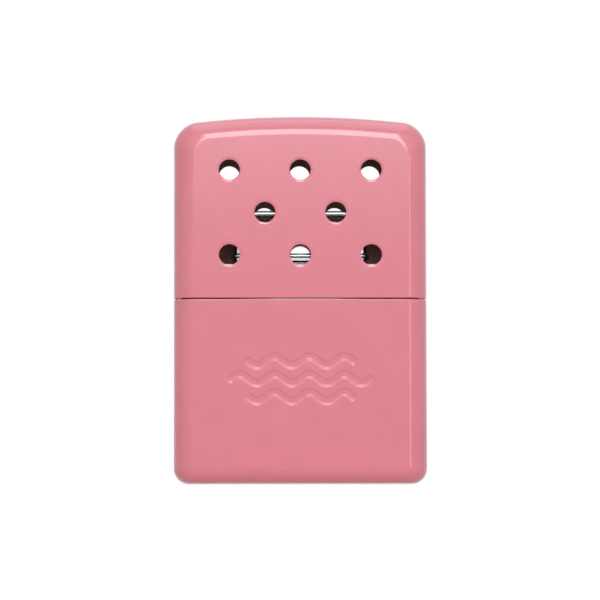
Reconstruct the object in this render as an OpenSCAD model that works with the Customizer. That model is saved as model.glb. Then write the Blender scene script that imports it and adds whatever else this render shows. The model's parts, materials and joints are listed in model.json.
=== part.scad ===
// Catalytic hand warmer: a drawn fuel tank, a vented lid that slips over its collar,
// and a burner that lifts off the tank's neck. Millimetres throughout.
// The origin is the middle of the base, +Z is up, and the front face looks towards -Y.

/* [Case] */
// Width of the case across its front
case_w = 51; // [46:0.5:70]
// Depth of the case from front to back
case_d = 13; // [12.5:0.5:20]
// Height of the tank shell, from the base to the seam
tank_h = 37.05; // [30:0.05:70]
// Height of the lid, from its open edge to the middle of its arch
lid_h = 37.1; // [34:0.1:60]
// Gap that shows at the seam between tank and lid
seam_gap = 0.2; // [0.1:0.05:0.6]
// Thickness of the sheet that the tank shell and lid are drawn from
case_sheet = 0.5; // [0.35:0.05:0.7]
// Radius of the upright edges and of the lid's crown
edge_r = 4.1; // [3.4:0.1:4.4]
// Radius of the edges round the base
base_r = 3.1; // [2:0.1:3.3]
// Fall of the lid's arch from its middle to its sides
arch_drop = 1.7; // [0.5:0.1:3.5]
// Radius of the lid's outline where its sides meet its crown, front on
shoulder_r = 5; // [4.5:0.1:6]

/* [Vents] */
// Diameter of a vent hole
vent_d = 4.2; // [3:0.05:6]
// Distance between neighbouring vent holes in a row
vent_pitch = 14.3; // [8:0.1:16]
// Distance between neighbouring rows
vent_row_pitch = 8.6; // [7:0.1:9.5]
// Height of the lowest row above the lid's open edge
vent_rise = 8.75; // [6:0.05:10]

/* [Pressed waves] */
// Depth of the waves pressed into the tank's front
wave_depth = 0.25; // [0.1:0.05:0.3]
// Width of a wave's groove
wave_line = 1.3; // [0.8:0.1:1.6]
// Length of one turn of a wave
wave_l = 7; // [5:0.5:8]
// Swing of a wave up and down
wave_swing = 0.9; // [0.5:0.1:1.2]
// Distance between neighbouring waves
wave_pitch = 3.6; // [3.4:0.1:5]
// Height of the waves' middle above the base
wave_z = 21; // [15:0.5:24]

/* [Collar] */
// Height of the collar above the tank shell
collar_rise = 7.4; // [5:0.1:10]
// Depth that the collar reaches down into the tank shell
collar_seat = 5; // [3:0.5:8]
// Thickness of the collar's sheet
collar_sheet = 0.45; // [0.3:0.05:0.7]
// Radius of the collar's top edge
collar_r = 1; // [0.8:0.1:1.2]
// Slip round the collar, inside the lid and inside the shell
slip = 0.1; // [0.05:0.01:0.2]

/* [Neck] */
// Height of the neck above the collar's top
neck_rise = 3.8; // [3:0.1:6]
// Thickness of the neck's sheet
neck_sheet = 0.45; // [0.3:0.05:0.7]
// Width of the neck's flange, under the collar's top
flange_w = 1; // [0.6:0.1:1.3]
// Thickness of the neck's flange
flange_t = 0.4; // [0.3:0.05:0.6]

/* [Burner] */
// Width of the burner's band
burner_w = 26.8; // [22:0.2:30]
// Depth of the burner's band from front to back
burner_d = 8; // [7.6:0.1:9]
// Radius of the band's upright corners
burner_r = 1.2; // [1.1:0.1:2.6]
// Thickness of the burner's sheet
burner_sheet = 0.45; // [0.3:0.05:0.6]
// Running clearance between burner and neck on each side
burner_fit = 0.08; // [0.05:0.01:0.1]
// Gap under the burner's skirt, above the collar
skirt_gap = 0.5; // [0.2:0.05:0.8]
// Height of the lip above the skirt's lower edge
lip_rise = 0.8; // [0.5:0.1:2]
// Thickness of the lip
lip_t = 0.35; // [0.25:0.05:0.6]
// Distance that the lip stands out from the band
lip_out = 0.55; // [0.3:0.05:0.8]
// Height of the band above the neck's top
band_rise = 2; // [1.7:0.1:2.6]
// Thickness of the plate that the catalyst stands on
plate_t = 0.4; // [0.3:0.05:0.5]
// Width of a slot in the plate
slot_w = 1.6; // [1:0.1:2]
// Height of the strap's top above the neck's top
strap_rise = 6.55; // [6:0.05:9]
// Radius of the strap's shoulders
strap_r = 4.6; // [3.5:0.1:4.9]
// Width of the strap from front to back, over the catalyst
strap_w = 7.8; // [6.5:0.1:7.8]
// Width of the strap's legs, where they stand inside the band
leg_w = 3.2; // [2:0.1:3.2]
// Diameter of the rivets that hold the legs
rivet_d = 0.9; // [0.7:0.05:1]
// Diameter of a rivet's head
rivet_head_d = 1.4; // [1.2:0.05:1.5]
// Thickness of a rivet's head
rivet_head_t = 0.3; // [0.2:0.05:0.4]
// Thickness of a rivet's tail, inside the strap
tail_t = 0.2; // [0.15:0.05:0.3]
// Height of a rivet's head above the plate
rivet_lift = 0.1; // [0.05:0.05:0.2]
// Height above the band at which the strap's legs start to widen
spread_rise = 0.3; // [0.1:0.1:0.6]

/* [Gauze] */
// Thickness of a wire
wire_t = 0.2; // [0.15:0.01:0.24]
// Distance between neighbouring wires
wire_pitch = 0.9; // [0.8:0.05:1.5]

/* [Filling] */
// Thickness of the felt wick pad under the neck
pad_t = 2.6; // [2:0.1:4]
// Play left round each wad and under the pad
wad_play = 0.2; // [0.1:0.05:0.4]

/* [Hidden] */

// Fineness of curves: exact circles, blended shells, rivets, a wave's turn and half the crown
$fn = 48;
shell_fn = 32;
rivet_fn = 24;
wave_steps = 16;
crown_stations = 4;

// A cut's overshoot, the gap between pieces that touch, and the least radius of a corner
over = 1;
joint_gap = 0.02;
least_r = 0.05;

// The tank holds three wads, and the middle wave has four turns and its neighbours three
wad_count = 3;
wave_turns = 4;

// Plain border at each end of the plate's slots, and the share of a wire that crossing wires share
slot_border = 2;
wire_bite = 0.2;

// Colours
paint = [0.88, 0.49, 0.56];
bright = [0.82, 0.83, 0.85];
steel = [0.68, 0.69, 0.7];
fibre = [0.24, 0.22, 0.21];
felt = [0.93, 0.91, 0.85];
cotton = [0.97, 0.96, 0.93];

// Middles of the upright corners, which all the shells share
corner_x = case_w / 2 - edge_r;
corner_y = case_d / 2 - edge_r;
shoulder = shoulder_r - edge_r;
shoulder_x = corner_x - shoulder;
collar_skin = case_sheet + slip;
collar_inner = collar_skin + collar_sheet;

// Heights above the base
lid_z = tank_h + seam_gap;
collar_top = tank_h + collar_rise;
neck_top = collar_top + neck_rise;
flange_top = collar_top - collar_sheet;
flange_z = flange_top - flange_t;
skirt_z = collar_top + skirt_gap;
lip_z = skirt_z + lip_rise;
band_top = neck_top + band_rise;
spread_z = band_top + spread_rise;
plate_top = neck_top + plate_t;
strap_top = neck_top + strap_rise;
pad_top = flange_z - joint_gap;

// Sizes that follow from a fit
neck_w = burner_w - 2 * (burner_sheet + burner_fit);
neck_d = burner_d - 2 * (burner_sheet + burner_fit);
neck_r = burner_r - burner_sheet - burner_fit;
tray_w = burner_w - 2 * (burner_sheet + joint_gap);
tray_d = burner_d - 2 * (burner_sheet + joint_gap);
tray_r = burner_r - burner_sheet - joint_gap;
cage_w = tray_w - 2 * burner_sheet;
gauze_y = tray_d / 2 - joint_gap;
rivet_z = plate_top + rivet_head_d / 2 + rivet_lift;
grip = 2 * burner_sheet + joint_gap;
mat_w = cage_w - 2 * (tail_t + joint_gap);
mat_d = 2 * (gauze_y - 2 * wire_t - joint_gap);
mat_top = strap_top - burner_sheet - joint_gap;
mat_r = strap_r - burner_sheet - tail_t;
mat_edge_r = tray_r - (tray_d - mat_d) / 2;
gauze_w = burner_w - 2 * burner_r;
wad_inset = collar_inner + wad_play;
wad_floor = case_sheet + wad_play;
wad_step = (pad_top - pad_t - wad_floor) / wad_count;

// Height of the lid's arch below its middle, at a distance x from it
function arch_fall(x) = arch_drop * pow(x / (case_w / 2), 2);

// ---- Shared shapes ----

// A rectangle with round corners, centred
module rounded_rect(w, d, corner) {
    r = max(corner, least_r);
    square([w - 2 * r, d], center = true);
    square([w, d - 2 * r], center = true);
    for (sx = [-1, 1], sy = [-1, 1])
        translate([sx * (w / 2 - r), sy * (d / 2 - r)])
            circle(r);
}

// A tube or rim of round-cornered section, from z up by h
module rounded_tube(w, d, r, t, z, h)
    translate([0, 0, z])
        linear_extrude(h)
            difference() {
                rounded_rect(w, d, r);
                rounded_rect(w - 2 * t, d - 2 * t, r - t);
            }

// A round post whose foot is rounded by foot_r
module post(r, foot_r, h)
    rotate_extrude($fn = shell_fn)
        intersection() {
            union() {
                translate([r - foot_r, foot_r]) circle(foot_r);
                translate([0, foot_r]) square([r, h - foot_r]);
            }
            square([r, h]);
        }

// A ball, or a thick wheel whose round rim runs about a circle of radius turn, with its axis along Y
module wheel(r, turn)
    rotate([90, 0, 0])
        rotate_extrude($fn = shell_fn)
            intersection() {
                union() {
                    translate([turn, 0]) circle(r, $fn = shell_fn);
                    translate([0, -r]) square([turn, 2 * r]);
                }
                translate([0, -r]) square([turn + r, 2 * r]);
            }

// Its children, at the four upright corners of the case
module at_corners()
    for (sx = [-1, 1], sy = [-1, 1])
        translate([sx * corner_x, sy * corner_y, 0])
            children();

// The outline of the burner's strap and what fits under it, front on
module arch_outline(w, top, r, bottom)
    intersection() {
        translate([-w / 2, bottom]) square([w, top - bottom]);
        union() {
            translate([-w / 2, bottom]) square([w, top - r - bottom]);
            translate([r - w / 2, bottom]) square([w - 2 * r, top - bottom]);
            for (sx = [-1, 1])
                translate([sx * (w / 2 - r), top - r])
                    circle(r);
        }
    }

// Its flat child, stood up front on, with its thickness from y back by t
module stand(y, t)
    translate([0, y + t, 0])
        rotate([90, 0, 0])
            linear_extrude(t)
                children();

// ---- Lid ----

// The lid's form, inset from its outer skin, and reaching below its edge by extra
module lid_form(inset, extra = 0)
    hull() {
        at_corners()
            translate([0, 0, lid_z - extra])
                cylinder(r = edge_r - inset, h = edge_r + extra, $fn = shell_fn);
        for (i = [-crown_stations : crown_stations], sy = [-1, 1])
            let (x = shoulder_x * i / crown_stations, turn = abs(i) == crown_stations ? shoulder : 0)
                translate([x, sy * corner_y, lid_z + lid_h - edge_r - arch_fall(x) - turn])
                    wheel(edge_r - inset, turn);
    }

// Vent holes: three, two and three in the front, and behind them all but the lowest row
module vents()
    for (row = [0 : 2])
        let (
            count = row == 1 ? 2 : 3,
            reach = row == 0 ? case_d / 2 : case_d + 2 * over,
            z = lid_z + vent_rise + row * vent_row_pitch
        )
            for (i = [0 : count - 1])
                translate([(i - (count - 1) / 2) * vent_pitch, -case_d / 2 - over, z])
                    rotate([-90, 0, 0])
                        cylinder(d = vent_d, h = reach);

module lid()
    color(paint)
        difference() {
            lid_form(0);
            lid_form(case_sheet, over);
            vents();
        }

// ---- Tank ----

// The tank shell's form, inset from its outer skin
module tank_form(inset, extra = 0)
    hull()
        at_corners()
            translate([0, 0, inset])
                post(edge_r - inset, base_r - inset, tank_h - inset + extra);

// One wave, front on: a stroke along a number of turns of a sine, with round ends
module wave(turns) {
    steps = turns * wave_steps;
    function along(t) = [turns * wave_l * (t - 0.5), wave_swing * sin(360 * turns * (t - 0.5))];
    function side(t) =
        let (slope = [wave_l, wave_swing * 2 * PI * cos(360 * turns * (t - 0.5))])
            wave_line / 2 * [-slope.y, slope.x] / norm(slope);
    polygon(concat(
        [for (i = [0 : steps]) along(i / steps) + side(i / steps)],
        [for (i = [steps : -1 : 0]) along(i / steps) - side(i / steps)]
    ));
    for (t = [0, 1])
        translate(along(t))
            circle(d = wave_line);
}

// Three level waves, longest in the middle
module waves()
    for (i = [-1 : 1])
        translate([0, wave_z + i * wave_pitch])
            wave(wave_turns - abs(i));

module tank_shell()
    color(paint)
        difference() {
            tank_form(0);
            tank_form(case_sheet, over);
            stand(wave_depth - over - case_d / 2, over) waves();
        }

// The collar's form: a cup upside down, inset from the case's outer skin
module collar_form(inset, top, r)
    hull()
        at_corners()
            translate([0, 0, top])
                mirror([0, 0, 1])
                    post(edge_r - inset, r, top - tank_h + collar_seat);

module tank_collar()
    color(bright)
        difference() {
            collar_form(collar_skin, collar_top, collar_r);
            translate([0, 0, -joint_gap])
                collar_form(collar_inner, flange_top + joint_gap, collar_r - collar_sheet);
            translate([0, 0, flange_z])
                linear_extrude(collar_top - flange_z + over)
                    rounded_rect(neck_w + 2 * joint_gap, neck_d + 2 * joint_gap, neck_r + joint_gap);
        }

module tank_neck()
    color(bright) {
        rounded_tube(neck_w, neck_d, neck_r, neck_sheet, flange_z, neck_top - flange_z);
        rounded_tube(
            neck_w + 2 * flange_w, neck_d + 2 * flange_w, neck_r + flange_w,
            flange_w + neck_sheet, flange_z, flange_t - joint_gap
        );
    }

// ---- Filling ----

module wick_pad()
    color(felt)
        translate([0, 0, pad_top - pad_t])
            linear_extrude(pad_t)
                rounded_rect(neck_w + 2 * flange_w, neck_d + 2 * flange_w, neck_r + flange_w);

// The wads share the height under the pad; the first is the lowest
module wad_block(n)
    translate([0, 0, wad_floor + (n - 1) * wad_step])
        linear_extrude(wad_step - wad_play)
            rounded_rect(case_w - 2 * wad_inset, case_d - 2 * wad_inset, edge_r - wad_inset);

// The lowest wad takes the round of the tank's floor
module cotton_wad(n)
    color(cotton)
        if (n == 1)
            intersection() {
                wad_block(n);
                tank_form(wad_floor);
            }
        else
            wad_block(n);

// ---- Burner ----

// The line of a rivet at each end of the burner, pointing outwards
module at_rivets()
    for (sx = [-1, 1])
        translate([sx * burner_w / 2, 0, rivet_z])
            rotate([0, sx * 90, 0])
                children();

module rivet_holes()
    at_rivets()
        cylinder(d = rivet_d + 2 * joint_gap, h = 4 * grip, center = true, $fn = rivet_fn);

module burner_base()
    color(bright)
        difference() {
            union() {
                rounded_tube(burner_w, burner_d, burner_r, burner_sheet, skirt_z, band_top - skirt_z);
                rounded_tube(
                    burner_w + 2 * lip_out, burner_d + 2 * lip_out, burner_r + lip_out,
                    lip_out + burner_sheet, lip_z, lip_t
                );
            }
            rivet_holes();
        }

// The plate rests on the neck, and its slots pass the fuel vapour
module diffuser_plate()
    color(steel)
        translate([0, 0, neck_top])
            linear_extrude(plate_t)
                difference() {
                    rounded_rect(tray_w, tray_d, tray_r);
                    slots = floor((tray_w - 2 * slot_border) / (2 * slot_w));
                    for (i = [0 : slots - 1])
                        translate([(i - (slots - 1) / 2) * 2 * slot_w, 0]) {
                            square([slot_w, tray_d / 2], center = true);
                            for (sy = [-1, 1])
                                translate([0, sy * tray_d / 4]) circle(d = slot_w);
                        }
                }

module burner_strap()
    color(bright)
        difference() {
            intersection() {
                stand(-strap_w / 2, strap_w)
                    difference() {
                        arch_outline(tray_w, strap_top, strap_r, plate_top);
                        arch_outline(
                            cage_w, strap_top - burner_sheet, strap_r - burner_sheet, plate_top - over
                        );
                    }
                // Side on: narrow legs that spread to the full width above the band
                rotate([90, 0, 90])
                    linear_extrude(burner_w, center = true)
                        polygon([
                            [-leg_w / 2, plate_top], [leg_w / 2, plate_top],
                            [leg_w / 2, spread_z], [strap_w / 2, strap_top - strap_r / 2],
                            [strap_w / 2, strap_top], [-strap_w / 2, strap_top],
                            [-strap_w / 2, strap_top - strap_r / 2], [-leg_w / 2, spread_z]
                        ]);
            }
            rivet_holes();
        }

// A rivet at each end: its head outside the band, its shank and its tail inside the strap
module burner_rivets()
    color(steel)
        at_rivets() {
            cylinder(d1 = rivet_head_d, d2 = rivet_head_d / 2, h = rivet_head_t, $fn = rivet_fn);
            translate([0, 0, -grip]) cylinder(d = rivet_d, h = grip, $fn = rivet_fn);
            translate([0, 0, -grip - tail_t]) cylinder(d = rivet_head_d, h = tail_t, $fn = rivet_fn);
        }

module catalyst_mat()
    color(fibre)
        intersection() {
            stand(-mat_d / 2, mat_d)
                arch_outline(mat_w, mat_top, mat_r, plate_top + joint_gap);
            linear_extrude(strap_top)
                rounded_rect(mat_w, mat_d, mat_edge_r);
        }

// The arch under the strap: half its width at a height z, and its top at a distance x
function rise(s) = s <= 0 ? mat_r : sqrt(max(0, mat_r * mat_r - s * s));
function arch_half(z) = mat_w / 2 - mat_r + rise(z - (mat_top - mat_r));
function arch_z(x) = mat_top - mat_r + rise(x - (mat_w / 2 - mat_r));

// A gauze of square wires: uprights in front, cross wires behind, both from plate to strap
module gauze() {
    foot = plate_top + joint_gap;
    columns = floor((gauze_w - wire_t) / (2 * wire_pitch));
    rows = floor((mat_top - foot - wire_t) / wire_pitch);
    for (i = [-columns : columns])
        let (x = i * wire_pitch, h = arch_z(abs(x) + wire_t / 2) - foot)
            translate([x - wire_t / 2, 0, foot]) cube([wire_t, (1 + wire_bite) * wire_t, h]);
    for (i = [0 : rows])
        let (z = foot + i * wire_pitch, half = min(gauze_w / 2, arch_half(z + wire_t)))
            translate([-half, wire_t, z]) cube([2 * half, wire_t, wire_t]);
}

module gauze_front()
    color(steel)
        translate([0, -gauze_y, 0]) gauze();

module gauze_rear()
    color(steel)
        mirror([0, 1, 0]) translate([0, -gauze_y, 0]) gauze();

lid();
tank_shell();
tank_collar();
tank_neck();
wick_pad();
cotton_wad(1);  // cotton_wad_1
cotton_wad(2);  // cotton_wad_2
cotton_wad(3);  // cotton_wad_3
burner_base();
diffuser_plate();
catalyst_mat();
gauze_front();
gauze_rear();
burner_strap();
burner_rivets();
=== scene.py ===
"""Pocket catalytic hand warmer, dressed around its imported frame.

A painted lid and tank, a bright collar and neck, and a burner with gauze and catalyst. Sizes are
in millimetres, as in the frame's source, and every mesh is brought to metres once, when it is
finished. The front face looks towards -Y.
"""

import json
import logging
import math
from dataclasses import dataclass
from enum import Enum
from functools import lru_cache
from typing import Callable, Iterable, Sequence

import bmesh
import bpy
from mathutils import Matrix, Vector, noise
from mathutils.geometry import interpolate_bezier

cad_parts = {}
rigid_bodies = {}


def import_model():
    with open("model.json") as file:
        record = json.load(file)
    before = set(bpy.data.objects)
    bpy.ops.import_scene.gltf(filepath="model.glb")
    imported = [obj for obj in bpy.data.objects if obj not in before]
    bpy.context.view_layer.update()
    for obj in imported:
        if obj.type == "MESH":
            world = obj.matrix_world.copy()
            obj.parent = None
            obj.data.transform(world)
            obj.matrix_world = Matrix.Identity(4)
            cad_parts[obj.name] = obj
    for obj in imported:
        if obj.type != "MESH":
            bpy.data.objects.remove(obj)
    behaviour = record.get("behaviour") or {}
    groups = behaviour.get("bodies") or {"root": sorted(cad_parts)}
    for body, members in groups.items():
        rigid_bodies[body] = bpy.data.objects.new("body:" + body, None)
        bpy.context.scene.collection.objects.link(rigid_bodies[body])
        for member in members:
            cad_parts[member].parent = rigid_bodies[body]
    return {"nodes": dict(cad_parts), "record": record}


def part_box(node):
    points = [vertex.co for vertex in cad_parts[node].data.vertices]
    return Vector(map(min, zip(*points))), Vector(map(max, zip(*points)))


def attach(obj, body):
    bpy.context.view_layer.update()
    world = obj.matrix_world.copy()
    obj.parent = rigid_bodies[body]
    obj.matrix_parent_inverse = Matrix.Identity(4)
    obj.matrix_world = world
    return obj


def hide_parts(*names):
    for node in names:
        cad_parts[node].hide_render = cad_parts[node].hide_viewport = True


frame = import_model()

MM = 0.001
WELD = 1e-3
HEM_STEPS = 10
LOG = logging.getLogger("hand_warmer")
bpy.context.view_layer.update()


class Body(Enum):
    """The frame's moving bodies."""

    TANK = "tank"
    LID = "lid"
    BURNER = "burner"


class Slot(Enum):
    """The record's material slots."""

    PAINT = "case_paint"
    PLATE = "bright_plate"
    STEEL = "burner_steel"
    FIBRE = "catalyst_fibre"
    FELT = "felt"
    COTTON = "cotton"

    def colour(self) -> tuple[float, ...]:
        """The slot's colour, as the record gives it."""
        rows = frame["record"]["materials"]
        return tuple(next(row["base_color"] for row in rows if row["slot"] == self.value))


class Side(Enum):
    """The four walls of an oblong, in the order in which its outline passes them."""

    RIGHT = 0
    BACK = 1
    LEFT = 2
    FRONT = 3


# ---- Outlines ----


def node_box(node: str) -> tuple[Vector, Vector]:
    """A frame node's lowest and highest corners.

    Args:
        node: The node's name.

    Returns:
        The two corners, in millimetres.
    """
    low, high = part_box(node)
    return low / MM, high / MM


def spread(start: float, end: float, steps: int) -> list[float]:
    """Evenly spaced values.

    Args:
        start: The first value.
        end: The last value.
        steps: How many steps lie between them.

    Returns:
        The steps + 1 values.
    """
    return [start + (end - start) * i / steps for i in range(steps + 1)]


def turn(degrees: float) -> tuple[float, float]:
    """The cosine and sine of an angle in degrees."""
    return math.cos(math.radians(degrees)), math.sin(math.radians(degrees))


@dataclass(frozen=True)
class Oblong:
    """A rectangle with round corners, centred on the Z axis.

    Attributes:
        half_w: Half its width, along X.
        half_d: Half its depth, along Y.
        radius: Radius of its corners.
        steps: Segments in each corner.
    """

    half_w: float
    half_d: float
    radius: float
    steps: int = 12

    def inset(self, by: float) -> "Oblong":
        """The outline moved in by a distance, or out where it is negative."""
        return Oblong(self.half_w - by, self.half_d - by, self.radius - by, self.steps)

    def ring(self, by: float, z: float) -> list[Vector]:
        """The outline's points, starting in front of the right-hand wall.

        Args:
            by: Distance that the points are moved in.
            z: Their height.

        Returns:
            The points, counterclockwise from above.
        """
        x, y = self.half_w - self.radius, self.half_d - self.radius
        corners = ((x, -y, -90), (x, y, 0), (-x, y, 90), (-x, -y, 180))
        points = []
        for cx, cy, start in corners:
            for angle in spread(start, start + 90, self.steps):
                c, s = turn(angle)
                points.append(Vector((cx + (self.radius - by) * c, cy + (self.radius - by) * s, z)))
        return points

    def hem(self, half: float, z: float, up: float) -> list[list[Vector]]:
        """The rings of a sheet's half-round edge, from its outside to its inside.

        Args:
            half: Half the sheet's thickness.
            z: Height at which the edge begins.
            up: 1 where the edge ends above that height, and -1 where it ends below.

        Returns:
            The rings.
        """
        turns = [turn(angle) for angle in spread(0, 180, HEM_STEPS)]
        return [self.ring(half * (1 - c), z + up * half * s) for c, s in turns]

    def wall(self, side: Side) -> int:
        """The index of the segment that is one of the four flat walls."""
        return (side.value + 1) * (self.steps + 1) - 1

    def walls(self) -> set[int]:
        """The indices of all four flat walls."""
        return {self.wall(side) for side in Side}


Corner = tuple[float, float, float]


def rounded(corners: Sequence[Corner], closed: bool = False, steps: int = 5) -> list[tuple[float, float]]:
    """A polyline whose corners are rounded by tangent arcs.

    Args:
        corners: Each corner's two coordinates and its radius.
        closed: Whether the last corner joins the first.
        steps: Segments in each arc.

    Returns:
        The points of the rounded line.
    """
    line: list[tuple[float, float]] = []
    count = len(corners)
    for i, (u, v, radius) in enumerate(corners):
        here = Vector((u, v))
        if radius == 0 or not closed and i in (0, count - 1):
            line.append((u, v))
            continue
        before = (Vector(corners[i - 1][:2]) - here).normalized()
        after = (Vector(corners[(i + 1) % count][:2]) - here).normalized()
        half = before.angle(after) / 2
        middle = here + (before + after).normalized() * radius / math.sin(half)
        first = here + before * radius / math.tan(half) - middle
        last = here + after * radius / math.tan(half) - middle
        sweep = first.angle(last)
        for part in spread(0, 1, steps):
            share = math.sin((1 - part) * sweep), math.sin(part * sweep)
            point = middle + (first * share[0] + last * share[1]) / math.sin(sweep)
            line.append((point.x, point.y))
    return line


def linked(name: str, data: bpy.types.ID) -> bpy.types.Object:
    """A new object in the scene that holds a mesh, a lamp or a camera."""
    made = bpy.data.objects.new(name, data)
    bpy.context.scene.collection.objects.link(made)
    return made


def clothing(name: str, mesh: bpy.types.Mesh, finishes: Sequence["Finish"] = ()) -> bpy.types.Object:
    """Wraps a mesh in an object that sits at the origin.

    Args:
        name: The piece's name.
        mesh: Its mesh, in millimetres.
        finishes: Its finishes, in the order of its material indices, or none where it has them.

    Returns:
        The new object, in metres.
    """
    mesh.name = name
    mesh.transform(Matrix.Scale(MM, 4))
    for finish in finishes:
        mesh.materials.append(finish.material())
    return linked(name, mesh)


class Skin:
    """A closed mesh, built in millimetres from rings of points and flat fills."""

    def __init__(self) -> None:
        """Starts an empty mesh."""
        self.mesh = bmesh.new()
        self.flat = self.mesh.faces.layers.int.new("flat")

    def _loop(self, points: Iterable[Vector]) -> list[bmesh.types.BMVert]:
        """Adds points, and returns their vertices."""
        return [self.mesh.verts.new(point) for point in points]

    def bridge(
        self,
        rings: Sequence[Sequence[Vector]],
        around: bool = True,
        wrap: bool = False,
        flats: Iterable[int] = (),
        skip: Iterable[int] = (),
        material: int = 0,
    ) -> None:
        """Joins each ring to the next with quads.

        Args:
            rings: Rings of equally many points.
            around: Whether each ring closes on itself.
            wrap: Whether the last ring joins the first.
            flats: Segments whose faces are flat, and are shaded so.
            skip: Segments that stay open.
            material: Material index of the faces.
        """
        flats, skip = set(flats), set(skip)
        rows = [self._loop(ring) for ring in rings]
        pairs = list(zip(rows, rows[1:])) + ([(rows[-1], rows[0])] if wrap else [])
        for near, far in pairs:
            count = len(near)
            for i in range(count if around else count - 1):
                if i in skip:
                    continue
                j = (i + 1) % count
                face = self.mesh.faces.new((near[i], near[j], far[j], far[i]))
                face.material_index = material
                face[self.flat] = int(i in flats)

    def fill(self, outer: Sequence[Vector], holes: Iterable[Sequence[Vector]] = (), material: int = 0) -> None:
        """Fills a flat outline, leaving its holes open.

        Args:
            outer: The outline.
            holes: The outlines of the holes.
            material: Material index of the faces.
        """
        edges = []
        for points in (outer, *holes):
            loop = self._loop(points)
            edges += [self.mesh.edges.new(pair) for pair in zip(loop, loop[1:] + loop[:1])]
        made = bmesh.ops.triangle_fill(self.mesh, edges=edges, use_beauty=True)
        for face in made["geom"]:
            if isinstance(face, bmesh.types.BMFace):
                face.material_index = material
                face[self.flat] = 1

    def add(self, mesh: bpy.types.Mesh, material: int = 0) -> None:
        """Adds another mesh to this one, and removes it.

        Args:
            mesh: The mesh, in millimetres.
            material: Material index that its faces take.
        """
        before = len(self.mesh.faces)
        self.mesh.from_mesh(mesh)
        self.mesh.faces.ensure_lookup_table()
        for face in self.mesh.faces[before:]:
            face.material_index = material
            face[self.flat] = 0
        bpy.data.meshes.remove(mesh)

    def _normal(self, vertex: bmesh.types.BMVert) -> Vector:
        """A vertex's normal: its flat faces' own, and otherwise the mean of all, by area."""
        faces = [face for face in vertex.link_faces if face[self.flat]] or vertex.link_faces
        return sum((face.normal * face.calc_area() for face in faces), Vector()).normalized()

    def done(self, name: str, *finishes: "Finish") -> bpy.types.Object:
        """Welds the mesh, turns its faces outwards and shades it.

        Args:
            name: The piece's name.
            finishes: Its finishes, in the order of the material indices.

        Returns:
            The finished piece.
        """
        bmesh.ops.remove_doubles(self.mesh, verts=self.mesh.verts, dist=WELD)
        bmesh.ops.recalc_face_normals(self.mesh, faces=self.mesh.faces)
        loose = sum(not edge.is_manifold for edge in self.mesh.edges)
        if loose:
            LOG.warning("%s has %d open edges", name, loose)
        normals = [self._normal(vertex) for vertex in self.mesh.verts]
        self.mesh.faces.layers.int.remove(self.flat)
        mesh = bpy.data.meshes.new(name)
        self.mesh.to_mesh(mesh)
        self.mesh.free()
        piece = clothing(name, mesh, finishes)
        mesh.shade_smooth()
        mesh.normals_split_custom_set_from_vertices(normals)
        return piece


# ---- Node trees ----


class Value:
    """A node's output that adds, subtracts, multiplies and divides as a number does."""

    def __init__(self, graph: "Graph", socket: bpy.types.NodeSocket) -> None:
        """Wraps a socket of a graph's tree."""
        self.graph = graph
        self.socket = socket

    def math(self, operation: str, *others: "Number") -> "Value":
        """The result of a Math node on this value and others."""
        inputs = dict(enumerate((self, *others)))
        return self.graph.node("ShaderNodeMath", inputs, operation=operation)

    def __add__(self, other: "Number") -> "Value":
        """The sum."""
        return self.math("ADD", other)

    def __sub__(self, other: "Number") -> "Value":
        """The difference."""
        return self.math("SUBTRACT", other)

    def __mul__(self, other: "Number") -> "Value":
        """The product."""
        return self.math("MULTIPLY", other)

    def __truediv__(self, other: "Number") -> "Value":
        """The quotient."""
        return self.math("DIVIDE", other)

    __radd__ = __add__
    __rmul__ = __mul__


Number = Value | float


class Graph:
    """A node tree that is written as a formula."""

    def __init__(self, tree: bpy.types.NodeTree) -> None:
        """Wraps a tree."""
        self.tree = tree

    def node(self, kind: str, inputs: dict | None = None, output: int = 0, **settings: object) -> Value:
        """Adds a node.

        Args:
            kind: The node's type.
            inputs: Values for its inputs, by name or index.
            output: Index of the output that is returned.
            settings: The node's own settings.

        Returns:
            The chosen output.
        """
        node = self.tree.nodes.new(kind)
        for key, value in settings.items():
            setattr(node, key, value)
        for key, value in (inputs or {}).items():
            self.feed(node.inputs[key], value)
        return Value(self, node.outputs[output]) if node.outputs else Value(self, None)

    def feed(self, socket: bpy.types.NodeSocket, value: object) -> None:
        """Links a value to an input, or sets the input to a plain value."""
        if isinstance(value, Value):
            self.tree.links.new(value.socket, socket)
        else:
            socket.default_value = value

    def vector(self, x: Number, y: Number, z: Number) -> Value:
        """A vector from its three parts."""
        return self.node("ShaderNodeCombineXYZ", {0: x, 1: y, 2: z})

    def parts(self, vector: Value) -> tuple[Value, Value, Value]:
        """A vector's three parts."""
        x = self.node("ShaderNodeSeparateXYZ", {0: vector})
        outputs = x.socket.node.outputs
        return x, Value(self, outputs[1]), Value(self, outputs[2])

    def span(self, value: Value, low: float, high: float, to_low: float, to_high: float) -> Value:
        """Maps a range of a value to another range, and clamps it there."""
        return self.node("ShaderNodeMapRange", {0: value, 1: low, 2: high, 3: to_low, 4: to_high})


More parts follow.
